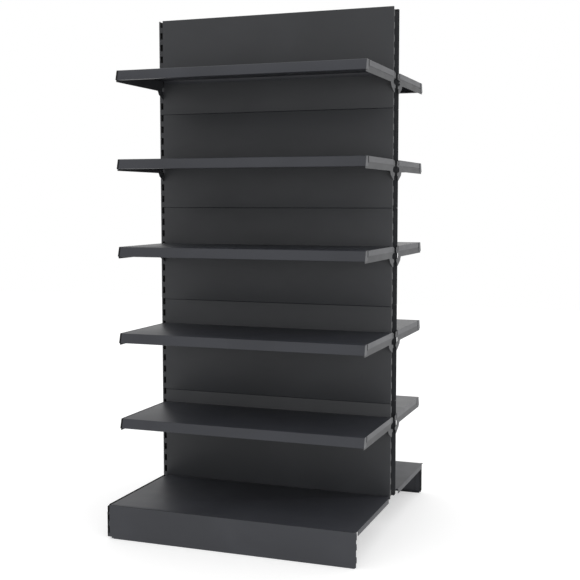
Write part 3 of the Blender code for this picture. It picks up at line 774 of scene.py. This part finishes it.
def spot_weld_row():
    """A row of spot weld marks: a low ring round a flat disc, on the underside of a flange."""
    tree, given, result = geometry_group(
        "spot_weld_row",
        {"First": "Vector", "Last": "Vector", "Count": "Int", "Radius": "Float", "Rim": "Float",
         "Paint": "Material"},
    )
    line = tree.nodes.new("GeometryNodeMeshLine")
    line.mode = "END_POINTS"
    round_line = tree.nodes.new("GeometryNodeCurvePrimitiveCircle")
    round_line.inputs["Resolution"].default_value = SPOT_SIDES
    rim = tree.nodes.new("GeometryNodeCurvePrimitiveCircle")
    rim.inputs["Resolution"].default_value = RIM_SIDES
    ring = tree.nodes.new("GeometryNodeCurveToMesh")
    disc = tree.nodes.new("GeometryNodeMeshCircle")
    disc.fill_type = "NGON"
    disc.inputs["Vertices"].default_value = SPOT_SIDES
    faced = tree.nodes.new("GeometryNodeFlipFaces")
    mark = tree.nodes.new("GeometryNodeJoinGeometry")
    row = tree.nodes.new("GeometryNodeInstanceOnPoints")
    tree.links.new(given.outputs["Count"], line.inputs["Count"])
    tree.links.new(given.outputs["First"], line.inputs["Start Location"])
    tree.links.new(given.outputs["Last"], line.inputs["Offset"])
    tree.links.new(given.outputs["Radius"], round_line.inputs["Radius"])
    tree.links.new(given.outputs["Rim"], rim.inputs["Radius"])
    tree.links.new(given.outputs["Radius"], disc.inputs["Radius"])
    tree.links.new(round_line.outputs["Curve"], ring.inputs["Curve"])
    tree.links.new(rim.outputs["Curve"], ring.inputs["Profile Curve"])
    tree.links.new(disc.outputs["Mesh"], faced.inputs["Mesh"])
    tree.links.new(ring.outputs["Mesh"], mark.inputs["Geometry"])
    tree.links.new(faced.outputs["Mesh"], mark.inputs["Geometry"])
    tree.links.new(line.outputs["Mesh"], row.inputs["Points"])
    tree.links.new(mark.outputs["Geometry"], row.inputs["Instance"])
    ended(tree, given, result, row.outputs["Instances"])
    return tree


SPOTS = spot_weld_row()


def spot_welds(name, rib_at, under, paint):
    """The two rows of marks under one shelf."""
    low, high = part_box(name)
    way = -1 if name.startswith("front") else 1
    rows = []
    for flange in (-1, 1):
        depth = way * (CORE_FACE + rib_at + flange * FLANGE_MIDDLE)
        rows.append((SPOTS, {
            "First": (low.x + SPOT_INSET, depth, high.z - under),
            "Last": (high.x - SPOT_INSET, depth, high.z - under),
            "Count": SPOT_COUNT,
            "Radius": SPOT_RADIUS,
            "Rim": SPOT_RIM,
            "Paint": paint,
        }))
    return made(name + "_spot_welds", rows)


# Painted shade: a dark, dull strip along the left end of each shelf.
shelf_end_shade = {"Start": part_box("front_shelf_1")[0].x + SHELF_SHADE_BAND}
shelf_coat = powder_coat(
    "shelf_coat", SHELF_GREY, cloud_scale=2.8, roughness=(0.35, 0.42), wear=0.12, dust=0.02, end_shade=shelf_end_shade
)
for side in ("front", "rear"):
    for number in range(1, SHELF_COUNT + 1):
        name = f"{side}_shelf_{number}"
        dress(name, shelf_coat)
        welds = spot_welds(name, SHELF_RIB_AT, FLANGE_UNDER, shelf_coat)
        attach(welds, name)

# Base shelves: deeper, of thicker sheet, turned down on all four sides and laid on the legs.
# Each takes the place of the plain base shelf, whose rear corners aren't cut out. Small tabs close the tops
# of the front corners. The base takes the most use, so its coat is a little more rubbed than the shelves'.
# Its coat also carries painted shade: a dark strip along its left end and its outer edge.
BASE_SHADE_END = 0.0050
BASE_SHADE_EDGE = 0.0022
BASE_RIB_AT = 0.250
BASE_FLANGE_UNDER = 0.0021
BASE_SHEET = 0.0012
CORNER_WIDTH = 0.0085
CORNER_RUN = 0.0250
REAR_CUT = 0.0330
CUT_SPARE = 0.0030


def notched(name, cuts, paint):
    """A copy of a solid with boxes cut out of it, each given by its two corners."""
    knife_shape = bmesh.new()
    for low, high in cuts:
        seat = Matrix.Translation((low + high) / 2) @ Matrix.Diagonal((*(high - low), 1.0))
        bmesh.ops.create_cube(knife_shape, size=1.0, matrix=seat)
    shape = bmesh.new()
    shape.from_mesh(nodes[name].data)
    bmesh.ops.remove_doubles(shape, verts=shape.verts, dist=JOIN_DISTANCE)
    blank = set_up(name + "_blank", mesh_of(name + "_blank", shape))
    knife = set_up(name + "_knife", mesh_of(name + "_knife", knife_shape))
    cut = blank.modifiers.new("cut", "BOOLEAN")
    cut.operation = "DIFFERENCE"
    cut.object = knife
    graph = bpy.context.evaluated_depsgraph_get()
    mesh = bpy.data.meshes.new_from_object(blank.evaluated_get(graph))
    bpy.data.objects.remove(blank, do_unlink=True)
    bpy.data.objects.remove(knife, do_unlink=True)
    mesh.name = name + "_sheet"
    mesh.materials.clear()
    mesh.materials.append(paint)
    piece = set_up(name + "_sheet", mesh)
    soften(piece)
    return piece


base_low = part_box("front_base_shelf")[0]
# Painted shade strip along the base's left end and outer edge.
base_end_shade = {"Start": base_low.x + BASE_SHADE_END, "Edge": -base_low.y - BASE_SHADE_EDGE}
base_coat = powder_coat(
    "base_coat", SHELF_GREY, cloud_scale=2.4, roughness=(0.44, 0.51), wear=0.14, dust=0.03, end_shade=base_end_shade
)
for side in ("front", "rear"):
    name = side + "_base_shelf"
    low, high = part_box(name)
    if side == "front":
        near, far = -CORE_FACE - REAR_CUT, high.y + CUT_SPARE
        edge, back = low.y, low.y + CORNER_RUN
    else:
        near, far = low.y - CUT_SPARE, CORE_FACE + REAR_CUT
        edge, back = high.y, high.y - CORNER_RUN
    cuts = []
    for left, right in (
        (low.x - CUT_SPARE, low.x + CORNER_WIDTH),
        (high.x - CORNER_WIDTH, high.x + CUT_SPARE),
    ):
        cuts.append((Vector((left, near, low.z - CUT_SPARE)), Vector((right, far, high.z + CUT_SPARE))))
    sheet = notched(name, cuts, base_coat)
    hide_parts(name)
    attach(sheet, name)
    welds = spot_welds(name, BASE_RIB_AT, BASE_FLANGE_UNDER, base_coat)
    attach(welds, name)
    for end, outer, inner in (
        ("left", low.x, low.x + CORNER_WIDTH),
        ("right", high.x, high.x - CORNER_WIDTH),
    ):
        corner = [(outer, back, high.z), (inner, back, high.z), (inner, edge, high.z), (outer, edge, high.z)]
        tab = drawn_out(f"{name}_{end}_corner", corner, (0, 0, -BASE_SHEET), base_coat)
        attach(tab, name)

# Plinths: kick plates with a foot return, hung between the base shelf and the floor.
# Keys at one end fit the sockets of the next bay's plinth. A folded keeper behind the sockets holds the keys.
# The rear one shows the corner of its foot, which reaches further than the plain foot return.
PLINTH_GREY = (0.0350, 0.0368, 0.0430)
PLINTH_SHADE_BAND = 0.0064
PLINTH_SHEET = 0.0012
KEEPER_SHEET = 0.0008
KEEPER_WIDTH = 0.0270
KEEPER_DEPTH = 0.0080
KEEPER_HEAD = 0.1165
FRONT_KEEPER_FOOT = 0.0086
REAR_KEEPER_FOOT = 0.0014
SOLE_FROM = 0.0070
SOLE_TO = 0.0259
SOLE_DEPTH = 0.0220
SOLE_LIFT = 0.0001
# Section of the keeper, as length from the plinth's end and depth behind its face
KEEPER_PROFILE = (
    (PLINTH_SHEET, KEEPER_DEPTH),
    (PLINTH_SHEET, KEEPER_DEPTH - KEEPER_SHEET),
    (KEEPER_WIDTH - KEEPER_SHEET, KEEPER_DEPTH - KEEPER_SHEET),
    (KEEPER_WIDTH - KEEPER_SHEET, PLINTH_SHEET),
    (KEEPER_WIDTH, PLINTH_SHEET),
    (KEEPER_WIDTH, KEEPER_DEPTH),
)
SOLE_OUTLINE = (
    (SOLE_FROM, PLINTH_SHEET), (SOLE_TO, PLINTH_SHEET), (SOLE_TO, SOLE_DEPTH), (SOLE_FROM, SOLE_DEPTH)
)
for side, way, keeper_foot in (("front", 1, FRONT_KEEPER_FOOT), ("rear", -1, REAR_KEEPER_FOOT)):
    name = side + "_plinth"
    low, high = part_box(name)
    end = low.x if side == "front" else high.x
    face = low.y if side == "front" else high.y
    # Painted shade: a dark, dull strip along the plinth's socket end.
    plinth_end_shade = {"Start": end + way * PLINTH_SHADE_BAND, "Way": way}
    plinth_coat = powder_coat(
        side + "_plinth_coat", PLINTH_GREY, cloud_scale=3.2, roughness=(0.46, 0.54), wear=0.14, dust=0.02,
        end_shade=plinth_end_shade
    )
    dress(name, plinth_coat)
    points = [(end + way * along, face + way * behind, keeper_foot) for along, behind in KEEPER_PROFILE]
    keeper = drawn_out(name + "_keeper", points, (0, 0, KEEPER_HEAD - keeper_foot), plinth_coat)
    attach(keeper, name)
    # The foot corner of the front one is hidden
    if side == "front":
        continue
    points = [(end + way * along, face + way * behind, SOLE_LIFT) for along, behind in SOLE_OUTLINE]
    foot = drawn_out(name + "_foot_corner", points, (0, 0, PLINTH_SHEET), plinth_coat)
    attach(foot, name)

# Floor: a pale studio floor that runs on past the view. It looks white, and keeps a soft shadow.
# Its glow is seen by the eye and in reflections, and throws no light on the object.
FLOOR_HALF = 9.0
FLOOR_CELLS = 12
FLOOR_DROP = 0.0005
FLOOR_PALE = 0.70
FLOOR_DULL = 0.9
FLOOR_GLOW = 0.45


def seen_directly(tree):
    """One where a camera, mirror or glass ray looks, and nought for the light that falls on the object."""
    path = tree.nodes.new("ShaderNodeLightPath")
    looked = sums(tree, "MAXIMUM", path.outputs["Is Camera Ray"], path.outputs["Is Glossy Ray"])
    return sums(tree, "MAXIMUM", looked, path.outputs["Is Transmission Ray"])


shape = bmesh.new()
bmesh.ops.create_grid(shape, x_segments=FLOOR_CELLS, y_segments=FLOOR_CELLS, size=FLOOR_HALF)
bmesh.ops.translate(shape, vec=(0, 0, -FLOOR_DROP), verts=shape.verts)
floor_mesh = mesh_of("floor", shape)
floor = set_up("floor", floor_mesh)
pale = bpy.data.materials.new("pale_floor")
pale.use_nodes = True
tree = pale.node_tree
shader = tree.nodes["Principled BSDF"]
shader.inputs["Base Color"].default_value = (FLOOR_PALE, FLOOR_PALE, FLOOR_PALE, 1.0)
shader.inputs["Roughness"].default_value = FLOOR_DULL
shader.inputs["Specular IOR Level"].default_value = 0.0
shader.inputs["Emission Color"].default_value = (1.0, 1.0, 1.0, 1.0)
tree.links.new(sums(tree, "MULTIPLY", seen_directly(tree), FLOOR_GLOW), shader.inputs["Emission Strength"])
floor_mesh.materials.append(pale)

# Surroundings: an even white room, which lights the object from all sides
# and makes the background of the photograph.
world = bpy.data.worlds.new("white_room")
world.use_nodes = True
scene.world = world
background = world.node_tree.nodes["Background"]
background.inputs["Color"].default_value = (1.0, 1.0, 1.0, 1.0)
background.inputs["Strength"].default_value = 1.0

# Lamps: two large soft boxes at half the height of the object, so that they reach in between the shelves.
# Each has a name, a place, the point that it faces, a width and a power.
LAMPS = (
    ("front_right_soft", (4.2, -5.0, 1.25), (0.0, 0.0, 1.1), 3.0, 95.0),
    ("rear_right_soft", (5.6, 4.4, 1.25), (0.0, 0.0, 1.1), 3.0, 18.0),
)
for name, spot, target, size, power in LAMPS:
    data = bpy.data.lights.new(name, "AREA")
    data.shape = "SQUARE"
    data.size = size
    data.energy = power
    lamp = set_up(name, data)
    lamp.location = spot
    aim = [t - s for t, s in zip(target, spot)]
    lamp.rotation_euler = (
        math.atan2(math.hypot(aim[0], aim[1]), -aim[2]),
        0.0,
        math.atan2(aim[1], aim[0]) - math.pi / 2,
    )

# Camera: at the photograph's place, a little below the second shelf from the top, looking slightly down.
# Place, angles and lens were solved from edges measured in the photograph.
CAMERA_PLACE = (1.58679, -4.15224, 1.35425)
CAMERA_DOWN = 4.889
CAMERA_TURN = 20.12
CAMERA_LENS = 64.872
CAMERA_SENSOR = 36.0
camera_data = bpy.data.cameras.new("photo_view")
camera_data.lens = CAMERA_LENS
camera_data.sensor_width = CAMERA_SENSOR
camera = set_up("photo_view", camera_data)
camera.location = CAMERA_PLACE
camera.rotation_euler = (math.radians(90 - CAMERA_DOWN), 0.0, math.radians(CAMERA_TURN))
scene.camera = camera
